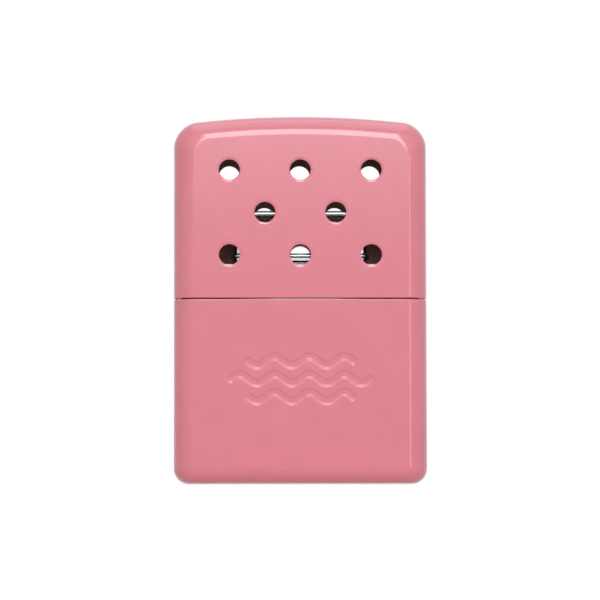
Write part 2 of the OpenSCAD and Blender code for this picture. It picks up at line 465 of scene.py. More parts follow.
class Recipe(Graph):
    """A Geometry Nodes tree with named inputs, that turns a plain mesh into a finished one."""

    def __init__(self, name: str) -> None:
        """Starts a tree with a geometry input and output."""
        super().__init__(bpy.data.node_groups.new(name, "GeometryNodeTree"))
        self.tree.interface.new_socket("Geometry", in_out="INPUT", socket_type="NodeSocketGeometry")
        self.tree.interface.new_socket("Geometry", in_out="OUTPUT", socket_type="NodeSocketGeometry")
        self.ids: dict[str, str] = {}
        self.start = self.tree.nodes.new("NodeGroupInput")
        self.source = Value(self, self.start.outputs[0])

    def size(self, name: str, kind: str = "NodeSocketFloat") -> Value:
        """Adds a named input, and returns it."""
        self.ids[name] = self.tree.interface.new_socket(name, in_out="INPUT", socket_type=kind).identifier
        return Value(self, self.start.outputs[name])

    def sizes(self, *names: str) -> list[Value]:
        """Adds several named number inputs."""
        return [self.size(name) for name in names]

    def finish(self, geometry: Value) -> None:
        """Ends the tree in real, smooth, finished faces."""
        smooth = self.node("GeometryNodeSetShadeSmooth", {"Geometry": geometry})
        real = self.node("GeometryNodeRealizeInstances", {"Geometry": smooth})
        coat = self.node(
            "GeometryNodeSetMaterial", {"Geometry": real, "Material": self.size("Finish", "NodeSocketMaterial")}
        )
        self.tree.links.new(coat.socket, self.tree.nodes.new("NodeGroupOutput").inputs[0])

    def tube(self, curve: Value, radius: Number, sides: Number, caps: bool = False) -> Value:
        """A round tube along a curve.

        Args:
            curve: The curve that it follows.
            radius: Its radius, which may vary along the curve.
            sides: Points round it.
            caps: Whether its ends are closed.

        Returns:
            The tube's mesh.
        """
        circle = self.node("GeometryNodeCurvePrimitiveCircle", {"Resolution": sides, "Radius": 1.0})
        return self.node(
            "GeometryNodeCurveToMesh",
            {"Curve": curve, "Profile Curve": circle, "Scale": radius, "Fill Caps": caps},
        )

    def join(self, first: Value, second: Value) -> Value:
        """Two geometries as one."""
        both = self.node("GeometryNodeJoinGeometry", {0: first})
        self.feed(both.socket.node.inputs[0], second)
        return both

    def lathe(self, profile: Value, sides: Number) -> Value:
        """Turns a profile, drawn with its radius along X, about the Z axis."""
        curve = self.node("GeometryNodeMeshToCurve", {"Mesh": profile})
        radius, _, height = self.parts(self.node("GeometryNodeInputPosition"))
        kept = self.node("GeometryNodeCaptureAttribute", {"Geometry": curve})
        capture = kept.socket.node
        capture.capture_items.new("FLOAT", "radius")
        self.feed(capture.inputs["radius"], radius)
        line = self.node("GeometryNodeSetPosition", {"Geometry": kept, "Position": self.vector(0, 0, height)})
        return self.tube(line, Value(self, capture.outputs["radius"]), sides)

    def grow(self, mesh: bpy.types.Mesh, finish: "Finish", **values: float) -> bpy.types.Mesh:
        """Runs the tree on a mesh.

        Args:
            mesh: The mesh that it starts from, in millimetres, which is removed.
            finish: The finish that the new faces take.
            values: The named inputs, with _ for a space.

        Returns:
            The new mesh, in millimetres.
        """
        carrier = linked(mesh.name, mesh)
        modifier = carrier.modifiers.new("recipe", "NODES")
        modifier.node_group = self.tree
        modifier[self.ids["Finish"]] = finish.material()
        for name, value in values.items():
            modifier[self.ids[name.replace("_", " ")]] = value
        graph = bpy.context.evaluated_depsgraph_get()
        grown = bpy.data.meshes.new_from_object(carrier.evaluated_get(graph), depsgraph=graph)
        carrier.modifiers.remove(modifier)
        bpy.data.objects.remove(carrier)
        bpy.data.meshes.remove(mesh)
        return grown


def wire_mesh(points: Sequence[Vector]) -> bpy.types.Mesh:
    """A mesh that is one open chain of edges through points."""
    mesh = bpy.data.meshes.new("chain")
    mesh.from_pydata(points, [(i, i + 1) for i in range(len(points) - 1)], [])
    return mesh


# ---- Finishes ----


class Shader(Graph):
    """A material's node tree, whose patterns are sized in millimetres."""

    def __init__(self, material: bpy.types.Material) -> None:
        """Takes a new material's tree and its surface node."""
        material.use_nodes = True
        super().__init__(material.node_tree)
        self.surface = self.tree.nodes["Principled BSDF"]
        self.place = self.node("ShaderNodeTexCoord", output=3)

    def set(self, **values: object) -> None:
        """Sets the surface's sockets, with _ for a space in a name."""
        for name, value in values.items():
            self.feed(self.surface.inputs[name.replace("_", " ")], value)

    def grain(self, size: float, detail: float = 2, stretch: Sequence[float] = (1, 1, 1), seed: float = 0) -> Value:
        """A noise from 0 to 1.

        Args:
            size: Its grain in millimetres.
            detail: Octaves.
            stretch: How much longer the grain is along each axis.
            seed: Offset that sets this noise apart from others.

        Returns:
            The noise's value.
        """
        scale = [1 / (size * MM * share) for share in stretch]
        where = self.node("ShaderNodeMapping", {"Vector": self.place, "Location": [seed] * 3, "Scale": scale})
        return self.node("ShaderNodeTexNoise", {"Vector": where, "Scale": 1.0, "Detail": detail})

    def blend(self, share: Number, first: object, second: object, mode: str = "MIX") -> Value:
        """Mixes two colours by a share."""
        inputs = {0: share, 6: self.opaque(first), 7: self.opaque(second)}
        return self.node("ShaderNodeMix", inputs, output=2, data_type="RGBA", blend_type=mode)

    @staticmethod
    def opaque(colour: object) -> object:
        """Adds full opacity to a plain colour, and leaves a node's output as it is."""
        return colour if isinstance(colour, Value) else (*colour[:3], 1.0)

    def relief(self, height: Value, depth: float) -> Value:
        """A normal bent by a height that runs from 0 to 1.

        Args:
            height: The height.
            depth: What a height of 1 stands for, in millimetres.

        Returns:
            The normal.
        """
        return self.node("ShaderNodeBump", {"Height": height, "Distance": depth * MM, "Strength": 1.0})


def tinted(colour: Sequence[float], factor: float) -> tuple[float, ...]:
    """A colour made lighter or darker by a factor."""
    return tuple(min(1.0, part * factor) for part in colour[:3])


@dataclass(frozen=True)
class Finish:
    """A surface finish, which is one material.

    Attributes:
        name: The material's name.
        colour: Its main colour.
    """

    name: str
    colour: tuple[float, ...]

    @lru_cache(maxsize=None)
    def material(self) -> bpy.types.Material:
        """The finish's material, made once."""
        material = bpy.data.materials.new(self.name)
        shader = Shader(material)
        self.dress(shader)
        return material

    def dress(self, shader: Shader) -> None:
        """Adds the finish's own nodes. Each kind of finish has its own."""
        raise NotImplementedError(self.name)


@dataclass(frozen=True)
class Enamel(Finish):
    """Glossy paint over drawn sheet, with a faint orange peel.

    Attributes:
        mottle: Grain of its colour variation.
        peel: Grain of the orange peel.
        peel_depth: Depth of the orange peel.
        coat_roughness: Roughness of its gloss.
        coat_ior: Refraction of its gloss.
    """

    mottle: float = 7
    peel: float = 0.8
    peel_depth: float = 0.0012
    coat_roughness: float = 0.05
    coat_ior: float = 1.5

    def dress(self, shader: Shader) -> None:
        """Paint whose tone and roughness vary a little, under a clear gloss."""
        cloud = shader.grain(self.mottle, 4)
        tone = shader.blend(
            shader.span(cloud, 0.3, 0.7, 0, 1), tinted(self.colour, 0.975), tinted(self.colour, 1.02)
        )
        speck = shader.span(shader.grain(0.11, 1, seed=5), 0.74, 0.8, 0, 0.25)
        shader.set(
            Base_Color=shader.blend(speck, tone, tinted(self.colour, 0.8)),
            Roughness=shader.span(shader.grain(2.5, 3, seed=2), 0.3, 0.7, 0.4, 0.5),
            Specular_IOR_Level=0.2,
            Coat_Weight=1.0,
            Coat_Roughness=self.coat_roughness,
            Coat_IOR=self.coat_ior,
        )
        peel = shader.relief(shader.grain(self.peel, 2, seed=3), self.peel_depth)
        shader.set(Normal=peel, Coat_Normal=peel)


@dataclass(frozen=True)
class BareSheet(Finish):
    """The unpainted inside of drawn sheet: dull and dark, with drawing streaks."""

    def dress(self, shader: Shader) -> None:
        """Dark metal with upright streaks and blotches."""
        streak = shader.grain(0.25, 2, (1, 1, 30))
        blotch = shader.grain(3, 4, seed=4)
        tone = shader.blend(blotch, tinted(self.colour, 0.7), tinted(self.colour, 1.3))
        shader.set(
            Base_Color=tone,
            Metallic=0.6,
            Roughness=shader.span(streak, 0.3, 0.7, 0.45, 0.65),
            Normal=shader.relief(streak, 0.003),
        )


@dataclass(frozen=True)
class PaintedShade:
    """A level strip all round a piece, painted dark as painted shade and painted dark reflection. Sizes are in
    millimetres.

    Attributes:
        low: Height of its lower edge.
        high: Height of its upper edge.
        middle: How black it is in the middle of the piece, from 0 to 1.
        side: How black it is at the sides.
        half_w: Distance from the middle at which it ends.
        fade: Height over which its edges fade.
        end_fade: Width over which its ends fade.
        front: Distances from the middle between which it changes from its middle to its side value.
        wobble: Grain of its uneven edges.
    """

    low: float
    high: float
    middle: float = 1
    side: float = 1
    half_w: float = 30
    fade: float = 0.08
    end_fade: float = 0.6
    front: tuple[float, float] = (5, 14)
    wobble: float = 0.3

    def share(self, shader: Shader) -> Value:
        """How black a point of the piece is, from 0 to 1."""
        x, _, z = shader.parts(shader.place)
        x, z = x.math("ABSOLUTE") / MM, z / MM + (shader.grain(self.wobble, 2, seed=11) - 0.5) * self.fade
        above = shader.span(z, self.low - self.fade, self.low + self.fade, 0, 1)
        below = shader.span(z, self.high - self.fade, self.high + self.fade, 1, 0)
        ends = shader.span(x, self.half_w - self.end_fade, self.half_w, 1, 0)
        return above * below * ends * shader.span(x, *self.front, self.middle, self.side)


@dataclass(frozen=True)
class BrightPlate(Finish):
    """Bright plating over drawn sheet.

    Attributes:
        gloss: Its lowest roughness.
        streak: Width of its drawing marks.
        mark_depth: Depth of the marks.
        shade_strips: The strips of painted shade.
        shade_colour: The colour of the painted shade.
        shade_roughness: How much rougher the metal is under the painted shade.
    """

    gloss: float = 0.07
    streak: float = 0.12
    mark_depth: float = 0.0006
    shade_strips: tuple[PaintedShade, ...] = ()
    shade_colour: tuple[float, ...] = (0.03, 0.018, 0.017)
    shade_roughness: float = 0.4

    def dress(self, shader: Shader) -> None:
        """Mirror-like metal with fine upright drawing marks, faint stains and strips of painted shade."""
        marks = shader.grain(self.streak, 2, (1, 1, 40))
        stain = shader.span(shader.grain(4, 4, seed=6), 0.35, 0.7, 0, 1)
        tone = shader.blend(stain, self.colour, tinted(self.colour, 0.93))
        roughness = shader.span(marks, 0.3, 0.75, self.gloss, self.gloss + 0.1)
        for strip in self.shade_strips:
            share = strip.share(shader)
            tone = shader.blend(share, tone, self.shade_colour)
            roughness = roughness + share * self.shade_roughness
        shader.set(
            Base_Color=tone,
            Metallic=1.0,
            Roughness=roughness,
            Normal=shader.relief(marks, self.mark_depth),
        )


@dataclass(frozen=True)
class HeatedSteel(Finish):
    """Plain steel that the burner's heat has tinted.

    Attributes:
        straw: Its colour where it is warm.
        blue: Its colour where it is hottest.
    """

    straw: tuple[float, ...] = (0.36, 0.27, 0.17)
    blue: tuple[float, ...] = (0.17, 0.18, 0.25)

    def dress(self, shader: Shader) -> None:
        """Steel whose tint drifts from grey through straw to blue."""
        drift = shader.grain(5, 3, seed=7)
        warm = shader.blend(shader.span(drift, 0.35, 0.55, 0, 0.8), self.colour, self.straw)
        tint = shader.blend(shader.span(drift, 0.58, 0.75, 0, 0.8), warm, self.blue)
        grit = shader.grain(0.06, 2, seed=8)
        shader.set(
            Base_Color=tint,
            Metallic=1.0,
            Roughness=shader.span(grit, 0.3, 0.7, 0.3, 0.5),
            Normal=shader.relief(grit, 0.002),
        )


@dataclass(frozen=True)
class Fibre(Finish):
    """Matted, felted or loose fibre.

    Attributes:
        strand: Width of its strands.
        depth: Depth of the relief between them.
        shade: Factor of its darkest tone.
        light: Factor of its lightest tone.
        sheen: Strength of its sheen.
    """

    strand: float = 0.12
    depth: float = 0.03
    shade: float = 0.75
    light: float = 1.1
    sheen: float = 0.3

    def dress(self, shader: Shader) -> None:
        """Soft fibre with strands lying two ways and uneven tone."""
        along = shader.grain(self.strand, 2, (6, 1, 1))
        up = shader.grain(self.strand, 2, (1, 1, 6), seed=9)
        strands = along.math("MAXIMUM", up)
        clump = shader.grain(1.6, 3, seed=10)
        share = shader.span(strands * 0.6 + clump * 0.4, 0.35, 0.65, 0, 1)
        shader.set(
            Base_Color=shader.blend(share, tinted(self.colour, self.shade), tinted(self.colour, self.light)),
            Roughness=0.95,
            Specular_IOR_Level=0.2,
            Sheen_Weight=self.sheen,
            Sheen_Roughness=0.5,
            Normal=shader.relief(strands, self.depth),
        )


ENAMEL = Enamel("case_enamel", Slot.PAINT.colour())
INSIDE = BareSheet("bare_inside", (0.46, 0.22, 0.21))
PLATE = BrightPlate("bright_plate", Slot.PLATE.colour())
# Three dark strips painted round the band at given heights: painted shade and painted dark reflection.
BAND_PLATE = BrightPlate(
    "band_plate",
    Slot.PLATE.colour(),
    shade_strips=(PaintedShade(44.8, 44.97), PaintedShade(45.44, 45.78, 0.8, 0.8), PaintedShade(46.26, 46.5, 0.8, 0.8)),
)
# A dark strip painted round the strap at one height: painted shade.
STRAP_PLATE = BrightPlate("strap_plate", Slot.PLATE.colour(), shade_strips=(PaintedShade(54.66, 55.1, 0.8, 0.8),))
# A dark strip painted round the collar in the seam between lid and tank, less dark in the middle and stopping short
# of the corners: painted shade.
COLLAR_PLATE = BrightPlate("collar_plate", Slot.PLATE.colour(), shade_strips=(PaintedShade(36.85, 37.5, 0.6, 1, 24.4),))
# The neck's plating is darkened to 0.6 of the plate's colour and made rougher, with a dark strip round its top:
# painted shade in its recess.
NECK_PLATE = BrightPlate(
    "neck_plate", tinted(Slot.PLATE.colour(), 0.6), gloss=0.42, mark_depth=0.002, shade_strips=(PaintedShade(44.3, 45.1),)
)
STEEL = HeatedSteel("burner_steel", Slot.STEEL.colour())
# The gauze's wire: the burner steel darkened to 0.35 of its colour, with darker straw and blue tints.
DARKENED_STEEL = HeatedSteel(
    "darkened_wire", tinted(Slot.STEEL.colour(), 0.35), straw=(0.14, 0.11, 0.08), blue=(0.07, 0.07, 0.09)
)
CATALYST = Fibre("catalyst_fibre", Slot.FIBRE.colour(), shade=0.5, light=1.9, sheen=0.1)
FELT = Fibre("wick_felt", Slot.FELT.colour(), strand=0.09)
COTTON = Fibre("cotton_wadding", Slot.COTTON.colour(), depth=0.05, shade=0.9)


# ---- Sub-assemblies ----


@dataclass(frozen=True)
class Assembly:
    """A sub-assembly, whose pieces all ride on one body."""

    body = Body.TANK

    def settle(self, piece: bpy.types.Object, slot: Slot, *nodes: str) -> bpy.types.Object:
        """Gives a piece its body, hides the nodes that it stands for, and reports it.

        Args:
            piece: The finished piece.
            slot: Its material slot; not used.
            nodes: The frame's nodes that it replaces.

        Returns:
            The piece.
        """
        if nodes:
            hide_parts(*nodes)
        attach(piece, self.body.value)
        LOG.info("%s: %d faces on %s", piece.name, len(piece.data.polygons), self.body.value)
        return piece


@dataclass(frozen=True)
class Case(Assembly):
    """Half of the case: one drawn sheet, painted outside.

    Attributes:
        sheet: Thickness of the sheet.
        edge_r: Radius of the upright edges, and of the lid's crown.
        steps: Segments in a quarter of a round edge.
    """

    node = ""
    sheet: float = 0.5
    edge_r: float = 4.1
    steps: int = 14

    def outline(self) -> Oblong:
        """The half's outline from above."""
        _, high = node_box(self.node)
        return Oblong(high.x, high.y, self.edge_r, self.steps)


@dataclass(frozen=True)
class Lid(Case):
    """The vented lid.

    Attributes:
        arch_drop: Fall of the arch from its middle to its sides.
        shoulder: Length of side that the rounded shoulder takes up, front on.
        face_turn: The same for the corner of the flat front.
        vent_r: Radius of a vent.
        vent_pitch: Distance between neighbouring vents in a row.
        row_pitch: Distance between neighbouring rows.
        vent_rise: Height of the lowest row above the lid's edge.
        lip: Rounding of a vent's painted lip.
        dish: Width of the shallow slope round a vent.
        dish_reach: Distance from a vent at which the face starts to round into that slope.
        dish_depth: Depth of the slope.
        burr: Rounding of a vent's edge inside.
        vent_sides: Points round a vent.
    """

    body = Body.LID
    node = "lid"
    arch_drop: float = 1.7
    shoulder: float = 4.7
    face_turn: float = 3.2
    vent_r: float = 2.1
    vent_pitch: float = 14.3
    row_pitch: float = 8.6
    vent_rise: float = 8.75
    lip: float = 0.1
    dish: float = 0.42
    dish_reach: float = 0.588
    dish_depth: float = 0.11
    burr: float = 0.1
    vent_sides: int = 64

    def foot(self) -> float:
        """Height at which the walls end and the rounded edge begins."""
        return node_box("lid")[0].z + self.sheet / 2

    def arch(self, x: float, out: float) -> float:
        """Height of the arch at x, at a distance out from the top of the flat front."""
        _, high = node_box("lid")
        return high.z - self.edge_r + out - self.arch_drop * (x / high.x) ** 2

    def border(self, out: float, reach: float) -> list[Vector]:
        """The right half of an outline of the lid, front on, from its foot to its middle.

        Args:
            out: Its distance from the border of the flat front.
            reach: Length of side that the rounded shoulder takes up.

        Returns:
            Its points: two of the side, then the shoulder and the arch.
        """
        side = self.outline().half_w - self.edge_r + out
        inner = side - reach
        slope = 2 * self.arch_drop * inner / self.outline().half_w ** 2
        pull = 0.55 * reach
        start = Vector((side, self.arch(side, out) - reach))
        end = Vector((inner, self.arch(inner, out)))
        handles = start, start + Vector((0, pull)), end + Vector((pull, -slope * pull)), end
        shoulder = interpolate_bezier(*handles, 2 * self.steps + 1)
        arch = [Vector((x, self.arch(x, out))) for x in spread(inner, 0, 2 * self.steps)[1:]]
        return [Vector((side, self.foot())), *(Vector(point[:2]) for point in shoulder), *arch]

    def shell(self, skin: Skin, inset: float, material: int) -> None:
        """Adds one side of the sheet, without its front and back.

        Args:
            skin: The mesh that it is added to.
            inset: Its distance from the outside.
            material: Its material index.
        """
        radius = self.edge_r - inset
        core_y = self.outline().half_d - self.edge_r
        near = self.border(0, self.face_turn)
        far = self.border(radius, self.shoulder - inset)
        for sign in (-1, 1):
            rows = []
            for a, b in zip(near, far):
                row = []
                for start, y in ((-90, -core_y), (0, core_y)):
                    for angle in spread(start, start + 90, self.steps):
                        c, s = turn(angle)
                        point = a.lerp(b, c)
                        row.append(Vector((sign * point.x, y + radius * s, point.y)))
                rows.append(row)
            skin.bridge(rows[:2], around=False, flats={self.steps}, material=material)
            skin.bridge(rows[1:], around=False, material=material)

    def face(self, y: float) -> list[Vector]:
        """The outline of the flat front or back, at a depth y."""
        right = self.border(0, self.face_turn)
        left = [Vector((-point.x, point.y)) for point in reversed(right[:-1])]
        return [Vector((point.x, y, point.y)) for point in right + left]

    def vent_centres(self, side: Side) -> list[tuple[float, float]]:
        """The vents' centres: three, two and three in front, and all but the lowest row behind."""
        base = node_box("lid")[0].z + self.vent_rise
        rows = {0: 3, 1: 2, 2: 3} if side is Side.FRONT else {1: 2, 2: 3}
        return [
            ((i - (count - 1) / 2) * self.vent_pitch, base + row * self.row_pitch)
            for row, count in rows.items()
            for i in range(count)
        ]

    def vent_hole(self, x: float, y: float, z: float, radius: float) -> list[Vector]:
        """A ring round a vent, in a wall."""
        angles = spread(0, 360, self.vent_sides)[:-1]
        return [Vector((x + radius * turn(a)[0], y, z + radius * turn(a)[1])) for a in angles]

    def vent_rims(self, side: Side) -> bpy.types.Mesh:
        """The rounded rims of all the vents of one wall.

        Args:
            side: The wall, front or back.

        Returns:
            Their mesh, to be joined to the wall.
        """
        profile = rounded(
            [
                (self.vent_r + self.dish_reach, 0, 0),
                (self.vent_r + self.dish, 0, self.dish / 2),
                (self.vent_r, self.dish_depth, self.lip),
                (self.vent_r, self.sheet, self.burr),
                (self.vent_r + self.burr, self.sheet, 0),
            ]
        )
        chain = wire_mesh([Vector((radius, 0, depth)) for radius, depth in profile])
        return vent_recipe().grow(
            chain,
            ENAMEL,
            Pitch=self.vent_pitch,
            Row_Pitch=self.row_pitch,
            Middle=node_box("lid")[0].z + self.vent_rise + self.row_pitch,
            Depth=-self.outline().half_d,
            Back=float(side is Side.BACK),
            Sides=self.vent_sides,
        )

    def build(self) -> None:
        """Makes the lid."""
        skin = Skin()
        outline = self.outline()
        self.shell(skin, 0, 0)
        self.shell(skin, self.sheet, 1)
        skin.bridge(outline.hem(self.sheet / 2, self.foot(), -1))
        for side, sign in ((Side.FRONT, -1), (Side.BACK, 1)):
            for inset, extra, material in ((0, self.dish_reach, 0), (self.sheet, self.burr, 1)):
                y = sign * (outline.half_d - inset)
                holes = [self.vent_hole(x, y, z, self.vent_r + extra) for x, z in self.vent_centres(side)]
                skin.fill(self.face(y), holes, material)
            skin.add(self.vent_rims(side))
        self.settle(skin.done("lid_shell", ENAMEL, INSIDE), Slot.PAINT, "lid")


@lru_cache(maxsize=None)
def vent_recipe() -> Recipe:
    """The rims of a wall's vents, turned from a profile and set out in rows of three, two and three."""
    tree = Recipe("vent_rims")
    pitch, row_pitch, middle, depth, back = tree.sizes("Pitch", "Row Pitch", "Middle", "Depth", "Back")
    sides = tree.size("Sides", "NodeSocketInt")
    rim = tree.lathe(tree.source, sides)
    lying = tree.node("GeometryNodeTransform", {"Geometry": rim, "Rotation": (-math.pi / 2, 0, 0)})
    grid = tree.node(
        "GeometryNodeMeshGrid",
        {"Size X": pitch * 2, "Size Y": row_pitch * 2, "Vertices X": 3, "Vertices Y": 3},
    )
    x, y, _ = tree.parts(tree.node("GeometryNodeInputPosition"))
    in_middle = y.math("ABSOLUTE").math("LESS_THAN", row_pitch / 2)
    spare = in_middle * x.math("GREATER_THAN", pitch / 2)
    lowest = back * y.math("LESS_THAN", row_pitch * -0.5)
    chosen = tree.node(
        "GeometryNodeDeleteGeometry",
        {"Geometry": grid, "Selection": spare.math("MAXIMUM", lowest)},
        domain="POINT",
    )
    x, y, _ = tree.parts(tree.node("GeometryNodeInputPosition"))
    shift = y.math("ABSOLUTE").math("LESS_THAN", row_pitch / 2) * pitch / 2
    place = tree.vector(x + shift, depth, y + middle)
    points = tree.node("GeometryNodeSetPosition", {"Geometry": chosen, "Position": place})
    rims = tree.node("GeometryNodeInstanceOnPoints", {"Points": points, "Instance": lying})
    half_turn = tree.vector(0, 0, back * math.pi)
    tree.finish(tree.node("GeometryNodeTransform", {"Geometry": rims, "Rotation": half_turn}))
    return tree


@dataclass(frozen=True)
class Tank(Case):
    """The fuel tank's painted shell, with the waves pressed into its front.

    Attributes:
        base_r: Radius of the edges round the base.
        wave_depth: Depth of the pressed waves.
        wave_line: Width of a wave's groove.
        wave_l: Length of one turn of a wave.
        wave_turns: Turns of the middle wave. Each of its two neighbours has one fewer.
        wave_swing: Swing of a wave up and down.
        wave_pitch: Distance between neighbouring waves.
        wave_z: Height of the waves' middle.
        wave_blend: Half the width of the slope between the face and a groove's floor.
        turn_steps: Segments in one turn of a wave.
        end_steps: Segments round a wave's end.
        slope_steps: Segments in the slope.
    """

    node = "tank_shell"
    base_r: float = 3.1
    wave_depth: float = 0.16
    wave_line: float = 1.3
    wave_l: float = 7
    wave_turns: int = 4
    wave_swing: float = 0.9
    wave_pitch: float = 3.6
    wave_z: float = 21
    wave_blend: float = 0.3
    turn_steps: int = 28
    end_steps: int = 16
    slope_steps: int = 8

    def wave(self, number: int, offset: float, depth: float) -> list[Vector]:
        """A closed line round a wave's groove.

        Args:
            number: The wave's number, from 0 in the middle up and down.
            offset: The line's distance from the wave's middle line.
            depth: Its depth below the front face.

        Returns:
            The line's points.
        """
        turns = self.wave_turns - abs(number)
        y = depth - node_box("tank_shell")[1].y
        steps = turns * self.turn_steps

        def middle(t: float) -> tuple[Vector, Vector]:
            """A point on the wave's middle line, and the way to its right."""
            angle = math.tau * turns * (t - 0.5)
            slope = Vector((self.wave_l, self.wave_swing * math.tau * math.cos(angle))).normalized()
            point = Vector((self.wave_l * turns * (t - 0.5), self.wave_swing * math.sin(angle)))
            return point, Vector((slope.y, -slope.x))

        flat: list[Vector] = []
        for sign, times in ((1, spread(0, 1, steps)), (-1, spread(1, 0, steps))):
            flat += [point + right * sign * offset for point, right in map(middle, times)]
            point, right = middle(times[-1])
            for angle in spread(0, 180, self.end_steps)[1:-1]:
                c, s = turn(angle)
                flat.append(point + sign * offset * (right * c + Vector((-right.y, right.x)) * s))
        level = self.wave_z + number * self.wave_pitch
        return [Vector((point.x, y, level + point.y)) for point in flat]

    def rest(self) -> list[Vector]:
        """The outline of the flat base that it stands on."""
        return self.outline().ring(self.base_r, 0)

    def press_waves(self, skin: Skin) -> list[list[Vector]]:
        """Adds the waves' grooves, and returns the openings that the face leaves for them."""
        openings = []
        half = self.wave_line / 2
        for number in (-1, 0, 1):
            rings = []
            for part in spread(0, 1, self.slope_steps):
                offset = half + self.wave_blend * (1 - 2 * part)
                rings.append(self.wave(number, offset, self.wave_depth * (1 - math.cos(math.pi * part)) / 2))
            skin.bridge(rings)
            skin.fill(rings[-1])
            openings.append(rings[0])
        return openings

    def build(self) -> None:
        """Makes the tank's shell."""
        skin = Skin()
        _, high = node_box("tank_shell")
        outline = self.outline()
        half = self.sheet / 2
        rim_z = high.z - half
        inner_r = self.base_r - self.sheet
        base, floor = [], []
        for angle in spread(0, 90, self.steps):
            c, s = turn(angle)
            base.append(outline.ring(self.base_r * (1 - s), self.base_r * (1 - c)))
            floor.append(outline.ring(self.base_r - inner_r * s, self.base_r - inner_r * c))
        rim = outline.hem(half, rim_z, 1)
        skin.fill(base[0])
        skin.bridge(base)
        skin.bridge([base[-1], rim[0]], flats=outline.walls(), skip={outline.wall(Side.FRONT)})
        skin.bridge(rim)
        skin.bridge([rim[-1], floor[-1]], flats=outline.walls(), material=1)
        skin.bridge(floor, material=1)
        skin.fill(floor[0], material=1)
        x = outline.half_w - self.edge_r
        corners = ((-x, self.base_r), (x, self.base_r), (x, rim_z), (-x, rim_z))
        face = [Vector((u, -high.y, z)) for u, z in corners]
        skin.fill(face, self.press_waves(skin))
        self.settle(skin.done("tank_shell_drawn", ENAMEL, INSIDE), Slot.PAINT, "tank_shell")


@dataclass(frozen=True)
class Fit:
    """Sizes that the burner, the neck and the collar share.

    Attributes:
        lip_out: Distance that the burner's lip stands out from its band.
        band_r: Radius of the band's upright corners.
        sheet: Thickness of the burner's sheet.
        play: Running clearance between burner and neck.
        joint: Gap between pieces that touch.
    """

    lip_out: float = 0.55
    band_r: float = 1.2
    sheet: float = 0.45
    play: float = 0.08
    joint: float = 0.02

    def band(self) -> Oblong:
        """The outline of the burner's band."""
        _, high = node_box("burner_base")
        return Oblong(high.x - self.lip_out, high.y - self.lip_out, self.band_r)

    def neck(self) -> Oblong:
        """The outline of the tank's neck."""
        return self.band().inset(self.sheet + self.play)


FIT = Fit()


@dataclass(frozen=True)
class Collar(Assembly):
    """The bright collar that closes the tank, and the neck that it holds.

    Attributes:
        sheet: Thickness of the collar's sheet.
        corner_r: Radius of its upright corners.
        top_r: Radius of its top edge.
        hem: Rounding of its cut edges.
        neck_sheet: Thickness of the neck's sheet.
        flange: Width of the neck's flange.
        steps: Segments in a corner.
    """

    sheet: float = 0.45
    corner_r: float = 3.5
    top_r: float = 1.0
    hem: float = 0.12
    neck_sheet: float = 0.45
    flange: float = 1.0
    steps: int = 12

    def collar(self) -> None:
        """Makes the collar: a cup upside down, with a hole for the neck."""
        low, high = node_box("tank_collar")
        outline = Oblong(high.x, high.y, self.corner_r, self.steps)
        hole = FIT.neck().inset(-FIT.joint)
        inner_r = self.top_r - self.sheet
        side = rounded(
            [
                (self.top_r, high.z - self.sheet, 0),
                (self.sheet, high.z - self.sheet, inner_r),
                (self.sheet, low.z, self.hem),
                (0, low.z, self.hem),
                (0, high.z, self.top_r),
                (self.top_r, high.z, 0),
            ],
            steps=8,
        )
        mouth = rounded(
            [
                (-self.hem, high.z, 0),
                (0, high.z, self.hem),
                (0, high.z - self.sheet, 0),
            ]
        )
        skin = Skin()
        walls = [outline.ring(by, z) for by, z in side]
        skin.bridge(walls)
        throat = [hole.ring(by, z) for by, z in mouth]
        skin.bridge(throat)
        skin.fill(walls[-1], [throat[0]])
        skin.fill(walls[0], [throat[-1]])
        self.settle(skin.done("collar_cup", COLLAR_PLATE), Slot.PLATE, "tank_collar")

    def neck(self) -> None:
        """Makes the neck: a short tube with a flange round its foot."""
        low, high = node_box("tank_neck")
        flange_top = node_box("tank_collar")[1].z - self.sheet - FIT.joint
        outline = FIT.neck()
        profile = rounded(
            [
                (-self.flange, low.z, self.hem),
                (-self.flange, flange_top, self.hem),
                (0, flange_top, FIT.joint),
                (0, high.z, self.hem),
                (self.neck_sheet, high.z, self.hem),
                (self.neck_sheet, low.z, self.hem),
            ],
            closed=True,
        )
        skin = Skin()
        skin.bridge([outline.ring(by, z) for by, z in profile], wrap=True)
        self.settle(skin.done("neck_tube", NECK_PLATE), Slot.PLATE, "tank_neck")

    def build(self) -> None:
        """Makes the collar and the neck."""
        self.collar()
        self.neck()


